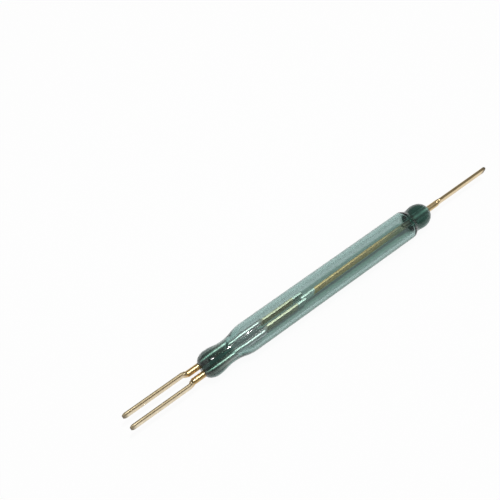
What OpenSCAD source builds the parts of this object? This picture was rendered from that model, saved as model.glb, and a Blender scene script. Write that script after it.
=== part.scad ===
/* [Glass envelope] */
// Length of the glass from end to end
glass_len = 27; // [25:0.5:36]
// Outer diameter of the straight tube
tube_d = 2.85; // [2.7:0.05:4]
// Wall of the straight tube
tube_wall = 0.35; // [0.2:0.01:0.45]

/* [Seal round the pair of leads] */
// Largest diameter of the fused bead
pair_bead_d = 2.54; // [2.4:0.02:2.7]
// Length of the bead's rounded end
pair_nose_len = 1.1; // [0.7:0.05:1.3]
// Depth of the bead's rounded end, towards the axis
pair_nose_depth = 0.8; // [0.5:0.05:0.95]
// Diameter of the neck behind the bead
pair_neck_d = 2.16; // [2.04:0.02:2.3]
// Distance from the glass end to the neck
pair_neck_at = 2.85; // [2.4:0.05:3.4]
// Distance from the glass end to the full tube
pair_shoulder_at = 5.1; // [4.6:0.1:6]
// Length of solid glass round the wires
pair_seal_len = 2.2; // [1.8:0.1:2.6]
// Length of the funnel that the cavity opens with
funnel_len = 1.6; // [1.2:0.1:1.8]
// Diameter of the funnel's tip
funnel_tip_d = 0.4; // [0.32:0.02:0.6]
// Diameter of the funnel's mouth
mouth_d = 1.56; // [1.5:0.02:1.7]

/* [Seal round the common lead] */
// Largest diameter of the fused bead
common_bead_d = 2.42; // [2.34:0.02:2.6]
// Length of the bead's rounded end
common_nose_len = 1.3; // [0.9:0.05:1.5]
// Depth of the bead's rounded end, towards the axis
common_nose_depth = 1.05; // [0.7:0.05:1.15]
// Diameter at the bottom of the groove behind the bead
groove_d = 2.26; // [2.1:0.02:2.32]
// Distance from the glass end to the groove
groove_at = 2.1; // [1.9:0.05:2.3]
// Distance from the glass end to the full tube
common_shoulder_at = 2.95; // [2.6:0.05:3.6]
// Length of solid glass round the wire
common_seal_len = 2.5; // [2.3:0.05:3.2]
// Length of the rounding at the cavity's end
end_round_len = 0.4; // [0.3:0.05:0.8]
// Depth of the rounding at the cavity's end, towards the axis
end_round_depth = 0.6; // [0.4:0.05:0.8]

/* [Leads] */
// Diameter of the round wire in the seals
wire_d = 0.6; // [0.5:0.02:0.66]
// Round wire left between the glass and the flattened ribbon
stub_len = 1.15; // [0.6:0.05:2.5]
// Length over which the wire is pressed flat
flatten_len = 0.5; // [0.3:0.05:0.9]
// Thickness of the flattened ribbon
ribbon_t = 0.3; // [0.2:0.02:0.36]
// Height of the flattened ribbon
ribbon_h = 0.86; // [0.66:0.02:1.1]
// Corner rounding at the ribbon's tip
ribbon_tip_r = 0.3; // [0.05:0.01:0.32]
// Length of the two paired leads outside the glass
pair_lead_len = 7.7; // [4:0.1:20]
// Length of the common lead outside the glass
common_lead_len = 8; // [4:0.1:20]
// Centre distance of the paired wires in the seal
pair_pitch = 0.86; // [0.8:0.02:1]
// Centre distance of the paired ribbons
ribbon_pitch = 1.24; // [1:0.02:1.6]

/* [Fixed contacts] */
// Centre distance of the paired wires in the cavity
inner_pitch = 0.96; // [0.9:0.02:1.2]
// Length over which the wires spread at the funnel's mouth
spread_len = 0.8; // [0.6:0.1:1.4]
// Length of round wire from the solid glass to the step of each contact
inner_stub_len = 4.3; // [3.4:0.1:5]
// Length of the step from round wire to flat contact
step_len = 0.5; // [0.3:0.05:0.8]
// Length of the flat contact
contact_len = 4.5; // [3:0.1:6]
// Thickness of the flat contact
contact_t = 0.25; // [0.16:0.01:0.28]
// Height of the flat contact
contact_h = 1.1; // [0.9:0.02:1.3]
// Centre distance of the two contacts
contact_pitch = 0.7; // [0.64:0.02:0.9]
// Corner rounding at the contact's tip
contact_tip_r = 0.15; // [0.05:0.01:0.3]

/* [Armature reed] */
// Thickness of the reed
reed_t = 0.22; // [0.14:0.01:0.26]
// Height of the reed
reed_h = 1.2; // [0.9:0.02:1.3]
// Corner rounding at the reed's tip
reed_tip_r = 0.2; // [0.05:0.01:0.35]
// How far the reed's tip reaches in between the contacts
contact_overlap = 0.6; // [0.3:0.05:1.5]
// Round wire of the common lead that stands in the cavity
root_stub_len = 0.75; // [0.6:0.05:1.2]
// Length of the flat root that does not flex
root_len = 0.6; // [0.4:0.05:1.5]
// Gap left between the reed and a closed contact
contact_clear = 0.01; // [0.005:0.005:0.02]
// Gap round the point where the reed flexes
flex_clear = 0.01; // [0.01:0.005:0.03]

/* [Hidden] */

// Smoothness of true circles, and of the circles that a pressed transition runs between
$fn = 64;
press_fn = 32;
// Straight steps along each arc of the glass outline
arc_steps = 6;
// How far the ends of a pressed transition are sunk into what they join, and lie inside its outline
sunk = 0.01;
// Overshoot of a cut past the solid it goes through
cut = 0.5;

glass_colour = [0.45, 0.62, 0.58, 0.45];
gold_colour = [0.83, 0.68, 0.38];

tube_r = tube_d / 2;
bore_r = tube_r - tube_wall;
pair_neck_r = pair_neck_d / 2;
groove_r = groove_d / 2;
pair_bead_r = pair_bead_d / 2;
common_bead_r = common_bead_d / 2;
funnel_tip_r = funnel_tip_d / 2;

// The glass is centred on the origin, with the pair of leads at -X and the common lead at +X
pair_end = -glass_len / 2;
common_end = glass_len / 2;
cavity_start = pair_end + pair_seal_len;
cavity_end = common_end - common_seal_len;

// Stations of a paired lead, from the seal to the contact and then outwards
mouth_at = cavity_start + funnel_len;
spread_end = mouth_at + spread_len;
stub_end = cavity_start + inner_stub_len;
contact_start = stub_end + step_len;
contact_end = contact_start + contact_len;
pair_flatten_at = pair_end - stub_len;
pair_tip = pair_end - pair_lead_len;

// Stations of the common lead and of its reed
common_flatten_at = common_end + stub_len;
common_tip = common_end + common_lead_len;
root_start = cavity_end - root_stub_len - step_len;
flex_at = root_start - root_len;
reed_len = flex_at - (contact_end - contact_overlap);

// The reed rests against the contact at -Y, turned about its flexing point
contact_face = contact_pitch / 2 - contact_t / 2;
reed_throw = contact_face - reed_t / 2 - contact_clear;
rest_turn = asin(reed_throw / reed_len);

// Points of an oval arc, from one angle to the other
function oval(centre, along, across, from, to) = [
    for (i = [0 : arc_steps])
        let (turn = from + (to - from) * i / arc_steps)
        centre + [along * cos(turn), across * sin(turn)]
];

// Inner points of the smooth S of two equal tangent arcs that leaves a and reaches b level
function s_curve(a, b) =
    let (
        run = abs(b[0] - a[0]),
        rise = abs(b[1] - a[1]),
        r = (run * run + rise * rise) / (4 * rise),
        sweep = asin(run / (2 * r)),
        along = sign(b[0] - a[0]),
        up = sign(b[1] - a[1])
    )
    [
        for (i = [1 : 2 * arc_steps - 1])
            let (
                first = i <= arc_steps,
                turn = sweep * (first ? i : 2 * arc_steps - i) / arc_steps,
                from = first ? a : b,
                way = first ? 1 : -1
            )
            from + way * [along * r * sin(turn), up * r * (1 - cos(turn))]
    ];

// Outer outline of the glass, as half of its section from one end to the other
function glass_outline() =
    let (
        bead_full = [pair_end + pair_nose_len, pair_bead_r],
        neck = [pair_end + pair_neck_at, pair_neck_r],
        tube_start = [pair_end + pair_shoulder_at, tube_r],
        tube_stop = [common_end - common_shoulder_at, tube_r],
        groove = [common_end - groove_at, groove_r],
        common_full = [common_end - common_nose_len, common_bead_r],
        pair_nose_at = [bead_full[0], pair_bead_r - pair_nose_depth],
        common_nose_at = [common_full[0], common_bead_r - common_nose_depth]
    )
    concat(
        [[pair_end, 0]],
        oval(pair_nose_at, pair_nose_len, pair_nose_depth, 180, 90),
        s_curve(bead_full, neck),
        [neck],
        s_curve(neck, tube_start),
        [tube_start, tube_stop],
        s_curve(tube_stop, groove),
        [groove],
        s_curve(groove, common_full),
        oval(common_nose_at, common_nose_len, common_nose_depth, 90, 0),
        [[common_end, 0]]
    );

// Outline of the sealed cavity, from the funnel between the paired wires to the blunt end
function cavity_outline() =
    let (
        funnel_tip = [cavity_start, funnel_tip_r],
        mouth = [mouth_at, mouth_d / 2],
        bore_start = [pair_end + pair_shoulder_at, bore_r],
        end_round_at = [cavity_end - end_round_len, bore_r - end_round_depth]
    )
    concat(
        [[cavity_start, 0], funnel_tip],
        s_curve(funnel_tip, mouth),
        [mouth],
        s_curve(mouth, bore_start),
        [bore_start],
        oval(end_round_at, end_round_len, end_round_depth, 90, 0),
        [[cavity_end, 0]]
    );

// Turns an outline drawn along X into a solid of revolution about X
module turned(outline) {
    rotate([0, 90, 0])
        rotate_extrude()
            polygon([for (p = outline) [p[1], p[0]]]);
}

// Round wire along X between two stations
module wire(from, to) {
    translate([from, 0, 0])
        rotate([0, 90, 0])
            cylinder(d = wire_d, h = to - from);
}

// Flat section with round edges, thin in Y and tall in Z
module flat_section(t, h) {
    square([h - t, t], center = true);
    for (side = [-1, 1])
        translate([side * (h - t) / 2, 0])
            circle(d = t);
}

// Extrudes a section along X, with the section's own X standing up in Z
module along_x(from, to) {
    translate([from, 0, 0])
        rotate([0, 90, 0])
            linear_extrude(to - from)
                children();
}

// Side view of a strip with two rounded corners at its tip end
module strip_side(from, tip, h, tip_r) {
    way = sign(tip - from);
    difference() {
        translate([min(from, tip), -h / 2])
            square([abs(tip - from), h]);
        for (side = [-1, 1])
            translate([tip - way * tip_r, side * (h / 2 - tip_r)])
                difference() {
                    translate([way > 0 ? 0 : -cut, side > 0 ? 0 : -cut])
                        square(cut);
                    circle(r = tip_r);
                }
    }
}

// Flattened strip of wire along X with a rounded tip
module strip(from, tip, t, h, tip_r) {
    intersection() {
        along_x(min(from, tip), max(from, tip))
            flat_section(t, h);
        translate([0, t, 0])
            rotate([90, 0, 0])
                linear_extrude(2 * t)
                    strip_side(from, tip, h, tip_r);
    }
}

// Round wire of diameter d that is set over by shift between two stations
module bent_wire(from, to, shift, d) {
    hull() {
        along_x(from - sunk, from)
            circle(d = d, $fn = press_fn);
        translate([0, shift, 0])
            along_x(to, to + sunk)
                circle(d = d, $fn = press_fn);
    }
}

// Pressed transition from round wire at one station to a flat strip set over by shift at another
module pressed(round_at, flat_at, t, h, shift) {
    back = sunk * sign(flat_at - round_at);
    hull() {
        along_x(min(round_at, round_at - back), max(round_at, round_at - back))
            circle(d = wire_d - 2 * sunk, $fn = press_fn);
        translate([0, shift, 0])
            along_x(min(flat_at, flat_at + back), max(flat_at, flat_at + back))
                flat_section(t - 2 * sunk, h - 2 * sunk, $fn = press_fn);
    }
}

// Lead of the pair, drawn on the side that its ribbon and contact are set to by side
module paired_lead(side) {
    ribbon_shift = side * (ribbon_pitch - pair_pitch) / 2;
    spread_shift = side * (inner_pitch - pair_pitch) / 2;
    contact_shift = side * (contact_pitch - inner_pitch) / 2;
    ribbon_at = pair_flatten_at - flatten_len;
    translate([0, side * pair_pitch / 2, 0]) {
        translate([0, ribbon_shift, 0])
            strip(ribbon_at, pair_tip, ribbon_t, ribbon_h, ribbon_tip_r);
        pressed(pair_flatten_at, ribbon_at, ribbon_t, ribbon_h, ribbon_shift);
        wire(pair_flatten_at, mouth_at);
        bent_wire(mouth_at, spread_end, spread_shift, wire_d - 2 * sunk);
    }
    translate([0, side * inner_pitch / 2, 0]) {
        wire(spread_end, stub_end);
        pressed(stub_end, contact_start, contact_t, contact_h, contact_shift);
        translate([0, contact_shift, 0])
            strip(contact_start, contact_end, contact_t, contact_h, contact_tip_r);
    }
}

// Blown glass tube, fused round the wires at both ends and sealed
module glass_envelope() {
    color(glass_colour)
        difference() {
            turned(glass_outline());
            turned(cavity_outline());
            for (side = [-1, 1])
                translate([0, side * pair_pitch / 2, 0]) {
                    wire(pair_end - cut, mouth_at + sunk);
                    bent_wire(mouth_at, spread_end, side * (inner_pitch - pair_pitch) / 2, wire_d);
                }
            wire(cavity_end - end_round_len, common_end + cut);
        }
}

// Lead that carries the reed: ribbon, round wire in the seal, flat root with a hollow seat
module common_lead() {
    ribbon_at = common_flatten_at + flatten_len;
    stub_start = cavity_end - root_stub_len;
    color(gold_colour)
        difference() {
            union() {
                strip(ribbon_at, common_tip, ribbon_t, ribbon_h, ribbon_tip_r);
                pressed(common_flatten_at, ribbon_at, ribbon_t, ribbon_h, 0);
                wire(stub_start, common_flatten_at);
                pressed(stub_start, root_start, reed_t, reed_h, 0);
                along_x(flex_at, root_start)
                    flat_section(reed_t, reed_h);
            }
            translate([flex_at, 0, -reed_h])
                cylinder(r = reed_t / 2 + flex_clear, h = 2 * reed_h);
        }
}

// Moving reed, with a round root on its flexing line
module armature_reed() {
    color(gold_colour)
        translate([flex_at, 0, 0])
            rotate([0, 0, rest_turn]) {
                strip(0, -reed_len, reed_t, reed_h, reed_tip_r);
                translate([0, 0, -(reed_h - reed_t) / 2])
                    cylinder(d = reed_t, h = reed_h - reed_t);
            }
}

// Contact that the reed rests on
module normally_closed_lead() {
    color(gold_colour)
        paired_lead(-1);
}

// Contact that the reed is drawn to
module normally_open_lead() {
    color(gold_colour)
        paired_lead(1);
}

glass_envelope();
common_lead();
armature_reed();
normally_closed_lead();
normally_open_lead();
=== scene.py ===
"""Looks of the glass reed switch: fused green glass, gold leads and a reed between contacts."""

from math import asin, cos, pi, radians, sin

import bpy
import numpy as np
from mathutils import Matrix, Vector


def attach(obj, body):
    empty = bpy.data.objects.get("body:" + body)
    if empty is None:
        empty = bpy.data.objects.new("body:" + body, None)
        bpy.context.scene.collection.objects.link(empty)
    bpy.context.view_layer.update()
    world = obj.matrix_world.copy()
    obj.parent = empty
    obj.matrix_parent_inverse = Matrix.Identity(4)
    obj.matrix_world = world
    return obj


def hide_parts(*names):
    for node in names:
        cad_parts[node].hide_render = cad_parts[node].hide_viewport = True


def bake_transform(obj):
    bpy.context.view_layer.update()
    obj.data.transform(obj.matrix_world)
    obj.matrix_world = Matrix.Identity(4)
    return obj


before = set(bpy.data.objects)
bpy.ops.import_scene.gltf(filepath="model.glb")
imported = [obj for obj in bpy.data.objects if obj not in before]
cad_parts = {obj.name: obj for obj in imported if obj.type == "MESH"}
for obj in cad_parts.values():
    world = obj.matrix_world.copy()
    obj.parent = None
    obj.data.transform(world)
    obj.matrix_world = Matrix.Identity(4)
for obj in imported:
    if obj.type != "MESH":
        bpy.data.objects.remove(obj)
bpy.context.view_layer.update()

MM = 0.001

# Glass in millimetres, as in the solids, where lengths named AT are from the nearer end
TUBE_R = 1.425
BORE_R = 1.075
PAIR_END = -13.5
COMMON_END = 13.5
PAIR_BEAD_R = 1.27
PAIR_NOSE_LEN = 1.1
PAIR_NOSE_DEPTH = 0.8
PAIR_NECK_AT = 2.85
PAIR_NECK_R = 1.08
PAIR_SHOULDER_AT = 5.1
COMMON_BEAD_R = 1.21
COMMON_NOSE_LEN = 1.3
COMMON_NOSE_DEPTH = 1.05
GROOVE_AT = 2.1
GROOVE_R = 1.13
COMMON_SHOULDER_AT = 2.95
CAVITY_START = -11.3
CAVITY_END = 11.0
FUNNEL_TIP_R = 0.2
MOUTH = -9.7
MOUTH_R = 0.78
END_ROUND_LEN = 0.4
END_ROUND_DEPTH = 0.6

# Wires in millimetres, as in the solids
WIRE_D = 0.6
PAIR_PITCH = 0.86
INNER_PITCH = 0.96
SPREAD_LEN = 0.8
RIBBON_T = 0.3
RIBBON_H = 0.86
RIBBON_PITCH = 1.24
RIBBON_TIP_R = 0.3
STUB_LEN = 1.15
FLATTEN_LEN = 0.5
STEP_LEN = 0.5
PAIR_TIP = -21.2
COMMON_TIP = 21.5
CONTACT_T = 0.25
CONTACT_H = 1.1
CONTACT_PITCH = 0.7
CONTACT_START = -6.5
CONTACT_END = -2.0
CONTACT_TIP_R = 0.15
REED_T = 0.22
REED_H = 1.2
REED_TIP_R = 0.2
REED_TIP = -2.6
REED_THROW = 0.105
ROOT_START = 9.75
ROOT_STUB = 10.25

# Corner radius of a section, as a share of half its thickness
ROUND = 0.97
SHOULDER = 0.9
PRESSED = 0.8
STAMPED = 0.35

# Half way along the pressing, where the metal spreads
SHOULDER_T = 0.48
SHOULDER_H = 0.78

# Bevel of a tip: its limit as a share of the thickness, and how much of it is taken off
BEVEL_LIMIT = 0.3
BEVEL_SHARE = 0.6

# Steps of the meshes, and the angle in degrees from which an edge is sharp
CORNER_STEPS = 9
LATHE = 160
ARC_STEPS = 14
RUN_STEPS = 16
TIP_STEPS = 8
REED_ROWS = 61
SHARP = 40

# Metals as red, green, blue and roughness
GOLD = (0.78, 0.60, 0.33, 0.3)
BRIGHT_GOLD = (0.78, 0.60, 0.33, 0.08)
PALE_GOLD = (0.97, 0.85, 0.64, 0.5)
STUB_GOLD = (0.66, 0.46, 0.20, 0.3)
# Painted highlight: pale cream just behind the tips of the pair's ribbons
TIP_HIGHLIGHT = (0.90, 0.78, 0.56, 0.3)
BLADE = (0.98, 0.81, 0.64, 0.4)
BLADE_SILVER = (0.97, 0.97, 0.94, 0.4)
REED_GOLD = (1.0, 0.655, 0.365, 0.39)
REED_SILVER = (0.97, 0.97, 0.94, 0.39)
# Painted shade: darker, greyer gold towards the reed's root and the cavity's common end
ROOT_SHADE = (0.66, 0.58, 0.43, 0.36)
STEEL = (0.98, 0.89, 0.91, 0.4)
SEALED = (0.86, 0.65, 0.62, 0.34)
OXIDE = (0.30, 0.27, 0.25, 0.3)
SEAL_GREY = (0.62, 0.66, 0.62, 0.5)
# Painted shade: dark on the common wire at the end of the cavity
CAVITY_END_SHADE = (0.20, 0.20, 0.17, 0.5)
CUT = (0.26, 0.21, 0.14, 0.5)

# Where the metals and the painted highlight change, in millimetres from a tip
CUT_LEN = 0.2
CUT_FADE = 0.6
TIP_HIGHLIGHT_TO = 0.9
PALE_FROM = 1.6
BLADE_SILVER_LEN = 1.05
REED_SILVER_LEN = 1.72
SILVER_FADE = 0.05

# Where the metals change, in millimetres from an end of the glass, the cavity or a flat part
OXIDE_FROM = 0.1
OXIDE_TO = 0.8
SEALED_FROM = 1.9
BLADE_FADE = 0.4
ROOT_FADE = 1.1
CAVITY_END_SHADE_HALF = 0.3
SEAL_GREY_FROM = 0.8
SEAL_GREY_STOP = 0.1
REED_FADE = 3.2

# Brown of the painted shade on the paired ribbons' upper and lower edges, and the heights between
# which it darkens them
EDGE_SHADE_BROWN = (0.46, 0.38, 0.24, 1)
EDGE_SHADE_FROM = 0.27
EDGE_SHADE_TO = 0.37

# Depths between which painted shade darkens the contacts' outer faces, and the share of colour they
# keep
FACE_SHADE_FROM = 0.03
FACE_SHADE_TO = 0.01
FACE_SHADE_SHARE = 0.6

# Texture of the metals: noise per metre, bump, tones of the mottling and its other effects
STREAKS = (350, 9000, 9000)
STREAK_BUMP = 0.007
STREAK_DEPTH = 0.02
MOTTLE = 2600.0
MOTTLE_DETAIL = 3.0
MOTTLE_FROM = 0.3
MOTTLE_TO = 0.7
TONE_FROM = 0.84
TONE_TO = 1.02
MOTTLE_WANDER = 0.12
MOTTLE_DULL = 0.08
PLAIN_DETAIL = 1.0

# Glass: its bending, the colour that depth turns it and how fast, and its tint to lamps' light
IOR = 1.5
DEEP_GREEN = (0.02, 0.40, 0.345, 1)
DENSITY = 1060.0
LAMP_TINT = (0.93, 0.975, 0.928, 1)

# Casts of the glass besides what its depth takes, and where they change, in millimetres
CLEAR = (0.99, 0.995, 0.995, 1)
NOSE_CAST = (0.30, 0.40, 0.36, 1)
PAIR_CAST = (0.66, 0.84, 0.78, 1)
COMMON_CAST = (0.50, 0.53, 0.49, 1)
NOSE_CAST_TO = 0.4
PAIR_CAST_FROM = 0.9
PAIR_CAST_TO = 2.6
CLEAR_FROM = 0.4
CLEAR_STOP = 0.2
COMMON_CAST_FROM = 0.4

# Ripples of the glass
RIPPLES = (90, 500, 500)
RIPPLE_BUMP = 0.01
RIPPLE_DEPTH = 0.05
RIPPLE_WANDER = 0.3

# Soft coat on the outside of the pair's end, which fades past the funnel's mouth
COAT = 0.4
COAT_ROUGHNESS = 0.15
COAT_FADE_FROM = 0.3
COAT_FADE_TO = 1.9
COAT_SKIN = 0.004

# Floor: half its width in millimetres, and how much plain white each kind of ray adds to it
WHITE = (1, 1, 1, 1)
FLOOR = (0.97, 0.97, 0.97, 1)
FLOOR_HALF = 400
CAMERA_WHITE = 0.94
GLOSSY_WHITE = 0.6
THROUGH_WHITE = -0.45
GLAZED_WHITE = -0.5

# Lamps: place and side in millimetres, and power in watts
SMALL_LAMP = ((13, 10, 147), 20, 0.1)
LEFT_BOX = ((-240, 80, 150), 500, 0.38)

# World: strengths low down and overhead, and the heights on the unit sphere where they begin
LOW_STRENGTH = 0.3
TOP_STRENGTH = 0.24
LOW_HEIGHT = 0.05
TOP_HEIGHT = 0.4

# Camera in degrees and millimetres, with its aim near the plane of the leads
AZIMUTH = -37.4
ELEVATION = 60.8
DISTANCE = 70.7
AIM = (-2.92, 6.89, 0.05)
LENS = 53.9


def quarter_oval(x, r, length, depth):
    """Points of a quarter oval from length before x and depth nearer the axis, level at (x, r)."""
    angles = np.linspace(0, pi / 2, 2 * ARC_STEPS)
    return [(x - length * cos(a), r - depth * (1 - sin(a))) for a in angles]


def s_curve(a, b):
    """Points of two equal tangent arcs that leave a and reach b level."""
    run, rise = b[0] - a[0], b[1] - a[1]
    r = (run * run + rise * rise) / (4 * abs(rise))
    up = 1 if rise > 0 else -1
    turns = np.linspace(0, asin(run / (2 * r)), ARC_STEPS)
    first = [(a[0] + r * sin(t), a[1] + up * r * (1 - cos(t))) for t in turns]
    last = [(b[0] - r * sin(t), b[1] - up * r * (1 - cos(t))) for t in turns[::-1]]
    return first + last[1:]


def outer_outline():
    """Half section of the glass from the pair of leads to the common lead, as (x, radius)."""
    bead = (PAIR_END + PAIR_NOSE_LEN, PAIR_BEAD_R)
    neck = (PAIR_END + PAIR_NECK_AT, PAIR_NECK_R)
    tube_start = (PAIR_END + PAIR_SHOULDER_AT, TUBE_R)
    tube_stop = (COMMON_END - COMMON_SHOULDER_AT, TUBE_R)
    groove = (COMMON_END - GROOVE_AT, GROOVE_R)
    common_bead = (COMMON_END - COMMON_NOSE_LEN, COMMON_BEAD_R)
    return (
        [(PAIR_END, 0)]
        + quarter_oval(*bead, PAIR_NOSE_LEN, PAIR_NOSE_DEPTH)
        + s_curve(bead, neck)[1:]
        + s_curve(neck, tube_start)[1:]
        + s_curve(tube_stop, groove)
        + s_curve(groove, common_bead)[1:-1]
        + quarter_oval(*common_bead, -COMMON_NOSE_LEN, COMMON_NOSE_DEPTH)[::-1]
        + [(COMMON_END, 0)]
    )


def cavity_outline():
    """Half section of the sealed cavity, as (x, radius)."""
    mouth = (MOUTH, MOUTH_R)
    return (
        [(CAVITY_START, 0)]
        + s_curve((CAVITY_START, FUNNEL_TIP_R), mouth)
        + s_curve(mouth, (PAIR_END + PAIR_SHOULDER_AT, BORE_R))[1:]
        + quarter_oval(CAVITY_END - END_ROUND_LEN, BORE_R, -END_ROUND_LEN, END_ROUND_DEPTH)[::-1]
        + [(CAVITY_END, 0)]
    )


def new_piece(name, verts, faces, material, slot, nodes):
    """A smooth mesh piece in metres that stands for the named solids."""
    mesh = bpy.data.meshes.new(name)
    mesh.from_pydata([tuple(MM * np.array(v)) for v in verts], [], faces)
    mesh.validate()
    mesh.polygons.foreach_set("use_smooth", [True] * len(mesh.polygons))
    mesh.set_sharp_from_angle(angle=radians(SHARP))
    mesh.materials.append(material)
    piece = bpy.data.objects.new(name, mesh)
    bpy.context.scene.collection.objects.link(piece)
    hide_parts(*nodes)
    return piece


def turned(outline, inward=False):
    """Vertices and faces of an outline turned about X, whose ends lie on the axis."""
    angles = np.linspace(0, 2 * pi, LATHE, endpoint=False)
    verts = [(outline[0][0], 0, 0)]
    for x, r in outline[1:-1]:
        verts += [(x, r * cos(a), r * sin(a)) for a in angles]
    verts.append((outline[-1][0], 0, 0))
    last = len(verts) - 1
    faces = []
    rings = len(outline) - 2
    for j in range(LATHE):
        k = (j + 1) % LATHE
        faces.append((0, 1 + k, 1 + j))
        for i in range(rings - 1):
            a, b = 1 + i * LATHE, 1 + (i + 1) * LATHE
            faces.append((a + j, a + k, b + k, b + j))
        end = 1 + (rings - 1) * LATHE
        faces.append((last, end + j, end + k))
    if inward:
        faces = [f[::-1] for f in faces]
    return verts, faces


def section(x, y, t, h, corner):
    """One ring of a wire's section: a rectangle with rounded corners, which is round in wire."""
    r = corner * min(t, h) / 2
    ring = []
    for quarter, (way_y, way_z) in enumerate(((1, 1), (-1, 1), (-1, -1), (1, -1))):
        for i in range(CORNER_STEPS):
            a = (quarter + i / (CORNER_STEPS - 1)) * pi / 2
            ring.append((x, y + way_y * (t / 2 - r) + r * cos(a), way_z * (h / 2 - r) + r * sin(a)))
    return ring


def run_of_sections(knots):
    """Rows between knots of (x, y, thickness, height, corner), eased from each to the next."""
    rows = []
    for a, b in zip(knots, knots[1:]):
        for i in range(RUN_STEPS):
            t = i / RUN_STEPS
            ease = t * t * (3 - 2 * t)
            eased = [p + (q - p) * ease for p, q in zip(a[1:], b[1:])]
            rows.append([a[0] + (b[0] - a[0]) * t] + eased)
    rows.append(list(knots[-1]))
    return rows


def rounded_end(rows, r):
    """Rounds the corners of the last row's tip by r, seen from the side, and bevels it."""
    x, y, t, h, corner = rows[-1]
    way = 1 if x > rows[0][0] else -1
    kept = [row for row in rows if (x - row[0]) * way > r]
    for i in range(TIP_STEPS + 1):
        a = pi / 2 * i / TIP_STEPS
        cut = r * (1 - cos(a))
        thinner = 2 * min(cut, t * BEVEL_LIMIT) * BEVEL_SHARE
        kept.append([x - way * r * (1 - sin(a)), y, t - thinner, h - 2 * cut, corner])
    return kept


def lofted(rows):
    """Vertices and faces of a closed skin over rings of section."""
    rings = [section(*row) for row in rows]
    count = len(rings[0])
    faces = []
    for i in range(len(rings) - 1):
        for j in range(count):
            k = (j + 1) % count
            a, b = i * count, (i + 1) * count
            faces.append((a + j, b + j, b + k, a + k))
    faces.append(tuple(range(count)))
    faces.append(tuple(reversed(range((len(rings) - 1) * count, len(rings) * count))))
    return [p for ring in rings for p in ring], faces


def make_paired_lead(name, node, side, material):
    """Lead of the pair: ribbon, round wire through the seal, and flat contact."""
    ribbon_y = side * RIBBON_PITCH / 2
    wire_y = side * PAIR_PITCH / 2
    inner_y = side * INNER_PITCH / 2
    contact_y = side * CONTACT_PITCH / 2
    shoulder_y = (wire_y + ribbon_y) / 2
    flatten = PAIR_END - STUB_LEN
    outer = run_of_sections([
        (flatten, wire_y, WIRE_D, WIRE_D, ROUND),
        (flatten - FLATTEN_LEN / 2, shoulder_y, SHOULDER_T, SHOULDER_H, SHOULDER),
        (flatten - FLATTEN_LEN, ribbon_y, RIBBON_T, RIBBON_H, PRESSED),
        (PAIR_TIP, ribbon_y, RIBBON_T, RIBBON_H, PRESSED),
    ])
    inner = run_of_sections([
        (flatten, wire_y, WIRE_D, WIRE_D, ROUND),
        (MOUTH, wire_y, WIRE_D, WIRE_D, ROUND),
        (MOUTH + SPREAD_LEN, inner_y, WIRE_D, WIRE_D, ROUND),
        (CONTACT_START - STEP_LEN, inner_y, WIRE_D, WIRE_D, ROUND),
        (CONTACT_START, contact_y, CONTACT_T, CONTACT_H, STAMPED),
        (CONTACT_END, contact_y, CONTACT_T, CONTACT_H, STAMPED),
    ])
    rows = rounded_end(outer, RIBBON_TIP_R)[::-1] + rounded_end(inner, CONTACT_TIP_R)[1:]
    piece = new_piece(name, *lofted(rows), material, "gold_plating", [node])
    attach(piece, "envelope")


def make_common_lead(material):
    """Lead of the reed: ribbon, round wire through the seal, and the flat root."""
    flatten = COMMON_END + STUB_LEN
    root = run_of_sections([
        (flatten, 0, WIRE_D, WIRE_D, ROUND),
        (ROOT_STUB, 0, WIRE_D, WIRE_D, ROUND),
        (ROOT_START, 0, REED_T, REED_H, STAMPED),
    ])
    outer = run_of_sections([
        (flatten, 0, WIRE_D, WIRE_D, ROUND),
        (flatten + FLATTEN_LEN / 2, 0, SHOULDER_T, SHOULDER_H, SHOULDER),
        (flatten + FLATTEN_LEN, 0, RIBBON_T, RIBBON_H, PRESSED),
        (COMMON_TIP, 0, RIBBON_T, RIBBON_H, PRESSED),
    ])
    rows = root[::-1] + rounded_end(outer, RIBBON_TIP_R)[1:]
    piece = new_piece("common_lead_wire", *lofted(rows), material, "gold_plating", ["common_lead"])
    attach(piece, "envelope")


def make_reed(material):
    """Flat reed, bent from its root to the resting contact as a cantilever bends."""
    span = ROOT_START - REED_TIP
    rows = []
    for x in np.linspace(ROOT_START, REED_TIP, REED_ROWS):
        s = (ROOT_START - x) / span
        rows.append([x, -REED_THROW * (3 * s * s - s ** 3) / 2, REED_T, REED_H, STAMPED])
    rows = rounded_end(rows, REED_TIP_R)
    piece = new_piece("armature_blade", *lofted(rows), material, "reed_plating", ["armature_reed"])
    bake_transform(piece)


def make_glass(material):
    """Envelope of one skin outside and one round the cavity, closed round the wires."""
    outer, outer_faces = turned(outer_outline())
    inner, inner_faces = turned(cavity_outline(), inward=True)
    faces = outer_faces + [tuple(i + len(outer) for i in f) for f in inner_faces]
    verts = outer + inner
    piece = new_piece("glass_tube", verts, faces, material, "green_glass", ["glass_envelope"])
    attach(piece, "envelope")


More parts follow.
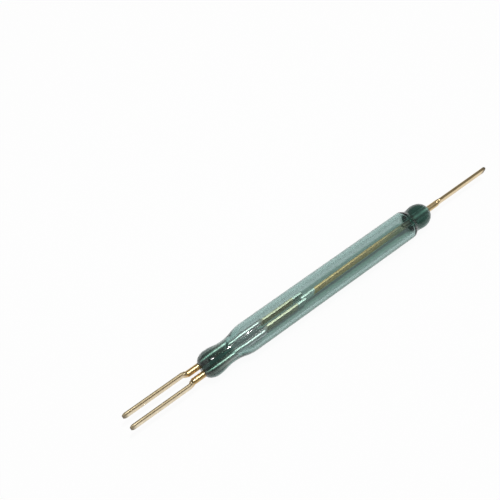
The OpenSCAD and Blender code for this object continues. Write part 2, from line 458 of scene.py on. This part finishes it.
class Nodes:
    """Short calls for building one node tree."""

    def __init__(self, tree):
        self.tree = tree
        tree.nodes.clear()

    def put(self, socket, value):
        """Links an output to the socket, or sets its value."""
        if isinstance(value, bpy.types.NodeSocket):
            self.tree.links.new(value, socket)
        else:
            socket.default_value = value

    def add(self, kind, **values):
        """A node of that kind, with its settings and its named sockets set or linked."""
        node = self.tree.nodes.new(kind)
        for key, value in values.items():
            if hasattr(node, key):
                setattr(node, key, value)
                continue
            name = key.replace("_", " ")
            socket = next(s for s in node.inputs if s.name == name or s.identifier == key)
            self.put(socket, value)
        return node

    def fill(self, kind, *values, **settings):
        """First output of a node of that kind, with its sockets set or linked in order."""
        node = self.add(kind, **settings)
        for socket, value in zip(node.inputs, values):
            self.put(socket, value)
        return node.outputs[0]

    def math(self, operation, *values, **settings):
        """Output of a math node over outputs and numbers."""
        return self.fill("ShaderNodeMath", *values, operation=operation, **settings)

    def mapped(self, value, low, high, start=0.0, stop=1.0):
        """Output that goes from start to stop as the value goes from low to high."""
        return self.fill("ShaderNodeMapRange", value, low, high, start, stop)

    def scaled(self, vector, scale):
        """The vector or colour times the scale."""
        node = self.add("ShaderNodeVectorMath", operation="SCALE", Scale=scale)
        self.put(node.inputs[0], vector)
        return node.outputs[0]

    def noise(self, place, stretch):
        """Plain noise that is stretched by its scales along X, Y and Z."""
        stretched = self.add("ShaderNodeMapping", Vector=place, Scale=stretch).outputs[0]
        noise = self.add("ShaderNodeTexNoise", Vector=stretched, Scale=1.0, Detail=PLAIN_DETAIL)
        return noise.outputs["Fac"]

    def ramp(self, x, stops):
        """Outputs of a ramp along X, over stops of millimetres and four numbers."""
        low, high = stops[0][0], stops[-1][0]
        node = self.add("ShaderNodeValToRGB", Fac=self.mapped(x, low * MM, high * MM))
        marks = node.color_ramp.elements
        while len(marks) < len(stops):
            marks.new(1.0)
        for mark, (at, colour) in zip(marks, stops):
            mark.position = (at - low) / (high - low)
            mark.color = colour
        return node.outputs


def new_material(name):
    """A material with an empty node tree."""
    material = bpy.data.materials.new(name)
    material.use_nodes = True
    return material, Nodes(material.node_tree)


def painted_shade_edges(n, apart, colour):
    """The colour with painted shade: browner on the upper and lower edges of the ribbons of the
    pair.
    """
    ribbon = n.mapped(apart["X"], PAIR_END * MM, (PAIR_END - STUB_LEN) * MM)
    edge = n.mapped(n.math("ABSOLUTE", apart["Z"]), EDGE_SHADE_FROM * MM, EDGE_SHADE_TO * MM)
    share = n.math("MULTIPLY", ribbon, edge)
    mix = n.add(
        "ShaderNodeMix",
        data_type="RGBA",
        Factor_Float=share,
        A_Color=colour,
        B_Color=EDGE_SHADE_BROWN,
    )
    return next(s for s in mix.outputs if s.identifier == "Result_Color")


def shaded_outer_faces(n, apart, colour):
    """The colour with painted shade: darker on the outer faces of the contacts."""
    face = (CONTACT_PITCH + CONTACT_T) / 2
    contact = n.mapped(apart["X"], (CONTACT_START - STEP_LEN) * MM, CONTACT_START * MM)
    side = n.math("ABSOLUTE", apart["Y"])
    outer = n.mapped(side, (face - FACE_SHADE_FROM) * MM, (face - FACE_SHADE_TO) * MM)
    share = n.math("MULTIPLY", contact, outer)
    return n.scaled(colour, n.mapped(share, 0.0, 1.0, 1.0, FACE_SHADE_SHARE))


def plating_material(name, stops, paired=False):
    """Plated wire with drawn streaks and mottling, whose metal and roughness change along X."""
    material, n = new_material(name)
    place = n.add("ShaderNodeTexCoord").outputs["Object"]
    apart = n.add("ShaderNodeSeparateXYZ", Vector=place).outputs
    mottle = n.add("ShaderNodeTexNoise", Vector=place, Scale=MOTTLE, Detail=MOTTLE_DETAIL)
    mottle = mottle.outputs["Fac"]
    metal = n.ramp(n.math("MULTIPLY_ADD", mottle, MOTTLE_WANDER * MM, apart["X"]), stops)
    tone = n.mapped(mottle, MOTTLE_FROM, MOTTLE_TO, TONE_FROM, TONE_TO)
    colour = n.scaled(metal["Color"], tone)
    # The pair gets painted shade on its ribbons' edges and on its contacts' outer faces
    if paired:
        colour = shaded_outer_faces(n, apart, painted_shade_edges(n, apart, colour))
    dull = n.math("MULTIPLY_ADD", mottle, MOTTLE_DULL, metal["Alpha"])
    streaks = n.noise(place, STREAKS)
    bump = n.add("ShaderNodeBump", Height=streaks, Strength=STREAK_BUMP, Distance=STREAK_DEPTH * MM)
    shader = n.add("ShaderNodeBsdfPrincipled", Base_Color=colour, Metallic=1.0, Roughness=dull)
    n.put(shader.inputs["Normal"], bump.outputs[0])
    n.add("ShaderNodeOutputMaterial", Surface=shader.outputs[0])
    return material


def pair_plating():
    """Gold outside, oxide and bare wire in the seal, and gold blades with silver tips."""
    silver = CONTACT_END - BLADE_SILVER_LEN
    return plating_material("pair_plating", [
        (PAIR_TIP, CUT),
        (PAIR_TIP + CUT_LEN, CUT),
        # Painted highlight: pale cream just behind the tip
        (PAIR_TIP + CUT_FADE, TIP_HIGHLIGHT),
        (PAIR_TIP + TIP_HIGHLIGHT_TO, TIP_HIGHLIGHT),
        (PAIR_TIP + PALE_FROM, PALE_GOLD),
        (PAIR_END - STUB_LEN - FLATTEN_LEN, PALE_GOLD),
        (PAIR_END - STUB_LEN, STUB_GOLD),
        (PAIR_END, STUB_GOLD),
        (PAIR_END + OXIDE_FROM, OXIDE),
        (PAIR_END + OXIDE_TO, OXIDE),
        (PAIR_END + SEALED_FROM, SEALED),
        (CAVITY_START, SEALED),
        (MOUTH, STEEL),
        (CONTACT_START - BLADE_FADE, STEEL),
        (CONTACT_START, BLADE),
        (silver - SILVER_FADE, BLADE),
        (silver + SILVER_FADE, BLADE_SILVER),
    ], paired=True)


def common_plating():
    """Root greyer and wire dark at the end of the cavity, both painted shade, then grey wire in the
    seal, and gold outside with a cut tip.
    """
    return plating_material("common_plating", [
        # Painted shade darkens the root and the wire towards and at the end of the cavity
        (CAVITY_END - ROOT_FADE, ROOT_SHADE),
        (CAVITY_END - CAVITY_END_SHADE_HALF, CAVITY_END_SHADE),
        (CAVITY_END + CAVITY_END_SHADE_HALF, CAVITY_END_SHADE),
        (CAVITY_END + SEAL_GREY_FROM, SEAL_GREY),
        (COMMON_END - SEAL_GREY_STOP, SEAL_GREY),
        (COMMON_END, GOLD),
        (COMMON_END + STUB_LEN, GOLD),
        (COMMON_END + STUB_LEN + FLATTEN_LEN, BRIGHT_GOLD),
        (COMMON_TIP - CUT_FADE, BRIGHT_GOLD),
        (COMMON_TIP - CUT_LEN, CUT),
        (COMMON_TIP, CUT),
    ])


def reed_plating():
    """Gold that painted shade turns darker and greyer towards the root, with a silver tip."""
    silver = REED_TIP + REED_SILVER_LEN
    return plating_material("reed_plating", [
        (silver - SILVER_FADE, REED_SILVER),
        (silver + SILVER_FADE, REED_GOLD),
        (ROOT_START - REED_FADE, REED_GOLD),
        # Painted shade towards the root
        (ROOT_START, ROOT_SHADE),
    ])


def coat_weight(n, place, x):
    """Weight of the soft coat on the outside of the pair's end, with none in the cavity."""
    across = n.fill("ShaderNodeVectorMath", place, (0, 1, 1), operation="MULTIPLY")
    radius = n.add("ShaderNodeVectorMath", operation="LENGTH")
    n.put(radius.inputs[0], across)
    along = n.mapped(x, (MOUTH + COAT_FADE_FROM) * MM, (MOUTH + COAT_FADE_TO) * MM, COAT, 0.0)
    outside = n.mapped(radius.outputs["Value"], BORE_R * MM, (BORE_R + COAT_SKIN) * MM)
    return n.math("MULTIPLY", along, outside)


def glass_surface(n):
    """Smooth glass with faint ripples, and a darker cast at the two beads."""
    place = n.add("ShaderNodeTexCoord").outputs["Object"]
    x = n.add("ShaderNodeSeparateXYZ", Vector=place).outputs["X"]
    ripple = n.noise(place, RIPPLES)
    cast = n.ramp(n.math("MULTIPLY_ADD", ripple, RIPPLE_WANDER * MM, x), [
        (PAIR_END, NOSE_CAST),
        (PAIR_END + NOSE_CAST_TO, NOSE_CAST),
        (PAIR_END + PAIR_CAST_FROM, PAIR_CAST),
        (PAIR_END + PAIR_CAST_TO, PAIR_CAST),
        (MOUTH + CLEAR_FROM, CLEAR),
        (CAVITY_END - CLEAR_STOP, CLEAR),
        (CAVITY_END + COMMON_CAST_FROM, COMMON_CAST),
        (COMMON_END, COMMON_CAST),
    ])
    bump = n.add("ShaderNodeBump", Height=ripple, Strength=RIPPLE_BUMP, Distance=RIPPLE_DEPTH * MM)
    return n.add(
        "ShaderNodeBsdfPrincipled",
        Base_Color=cast["Color"],
        Roughness=0.0,
        IOR=IOR,
        Normal=bump.outputs[0],
        Transmission_Weight=1.0,
        Coat_Weight=coat_weight(n, place, x),
        Coat_Roughness=COAT_ROUGHNESS,
    ).outputs[0]


def glass_material():
    """Green glass that is pale in the thin wall, and clear to lamps and blurred reflections."""
    material, n = new_material("green_glass")
    surface = glass_surface(n)
    path = n.add("ShaderNodeLightPath").outputs
    blurred = n.math("SUBTRACT", path["Is Glossy Ray"], path["Is Singular Ray"], use_clamp=True)
    for ray, colour in ((blurred, WHITE), (path["Is Shadow Ray"], LAMP_TINT)):
        clear = n.add("ShaderNodeBsdfTransparent", Color=colour).outputs[0]
        surface = n.fill("ShaderNodeMixShader", ray, surface, clear)
    tint = n.add("ShaderNodeVolumeAbsorption", Color=DEEP_GREEN, Density=DENSITY)
    n.add("ShaderNodeOutputMaterial", Surface=surface, Volume=tint.outputs[0])
    return material


def floor_material():
    """White floor that takes a soft shadow, and is plainer white to the camera and mirrors."""
    material, n = new_material("white_floor")
    path = n.add("ShaderNodeLightPath").outputs
    share = 0.0
    for ray, white in (
        (path["Is Camera Ray"], CAMERA_WHITE),
        (path["Is Glossy Ray"], GLOSSY_WHITE),
        (path["Is Transmission Ray"], THROUGH_WHITE),
        (n.math("MINIMUM", path["Transparent Depth"], 1.0), GLAZED_WHITE),
    ):
        share = n.math("MULTIPLY_ADD", ray, white, share, use_clamp=True)
    matte = n.add("ShaderNodeBsdfDiffuse", Color=FLOOR).outputs[0]
    plain = n.add("ShaderNodeEmission", Color=WHITE, Strength=1.0).outputs[0]
    n.add("ShaderNodeOutputMaterial", Surface=n.fill("ShaderNodeMixShader", share, matte, plain))
    return material


def make_floor():
    """Plain floor that the tube lies on."""
    half = FLOOR_HALF * MM
    mesh = bpy.data.meshes.new("floor")
    corners = [(-half, -half, 0), (half, -half, 0), (half, half, 0), (-half, half, 0)]
    mesh.from_pydata(corners, [], [(0, 1, 2, 3)])
    mesh.materials.append(floor_material())
    floor = bpy.data.objects.new("floor", mesh)
    floor.location.z = -TUBE_R * MM
    bpy.context.scene.collection.objects.link(floor)


def aimed(obj, place, aim):
    """Puts a lamp or camera at a place, in millimetres, and turns it to look at the aim."""
    place, aim = Vector(place) * MM, Vector(aim) * MM
    obj.location = place
    obj.rotation_euler = (aim - place).to_track_quat("-Z", "Y").to_euler()
    bpy.context.scene.collection.objects.link(obj)


def make_camera():
    """Camera at the photograph's view of the switch."""
    az, el = radians(AZIMUTH), radians(ELEVATION)
    back = Vector((sin(az) * cos(el), -cos(az) * cos(el), sin(el)))
    data = bpy.data.cameras.new("camera")
    data.lens = LENS
    data.clip_start = MM
    camera = bpy.data.objects.new("camera", data)
    aimed(camera, Vector(AIM) + DISTANCE * back, AIM)
    bpy.context.scene.camera = camera


def make_lamp(name, place, side, power):
    """Square soft box that looks at the middle of the switch."""
    data = bpy.data.lights.new(name, "AREA")
    data.size = side * MM
    data.energy = power
    lamp = bpy.data.objects.new(name, data)
    lamp.visible_transmission = False
    aimed(lamp, place, (0, 0, 0))


def make_world():
    """Pale surroundings that are dimmer overhead, and white to the camera."""
    world = bpy.data.worlds.new("studio")
    world.use_nodes = True
    bpy.context.scene.world = world
    n = Nodes(world.node_tree)
    place = n.add("ShaderNodeTexCoord").outputs["Generated"]
    height = n.add("ShaderNodeSeparateXYZ", Vector=place).outputs["Z"]
    strength = n.mapped(height, LOW_HEIGHT, TOP_HEIGHT, LOW_STRENGTH, TOP_STRENGTH)
    camera = n.add("ShaderNodeLightPath").outputs["Is Camera Ray"]
    seen = n.math("MAXIMUM", strength, camera)
    pale = n.add("ShaderNodeBackground", Color=WHITE, Strength=seen)
    n.add("ShaderNodeOutputWorld", Surface=pale.outputs[0])


make_camera()
pair_metal = pair_plating()
make_paired_lead("normally_closed_wire", "normally_closed_lead", -1, pair_metal)
make_paired_lead("normally_open_wire", "normally_open_lead", 1, pair_metal)
make_common_lead(common_plating())
make_reed(reed_plating())
make_glass(glass_material())
make_floor()
make_lamp("small_lamp", *SMALL_LAMP)
make_lamp("left_box", *LEFT_BOX)
make_world()

scene = bpy.context.scene
scene.view_settings.view_transform = "Standard"
scene.cycles.caustics_refractive = False
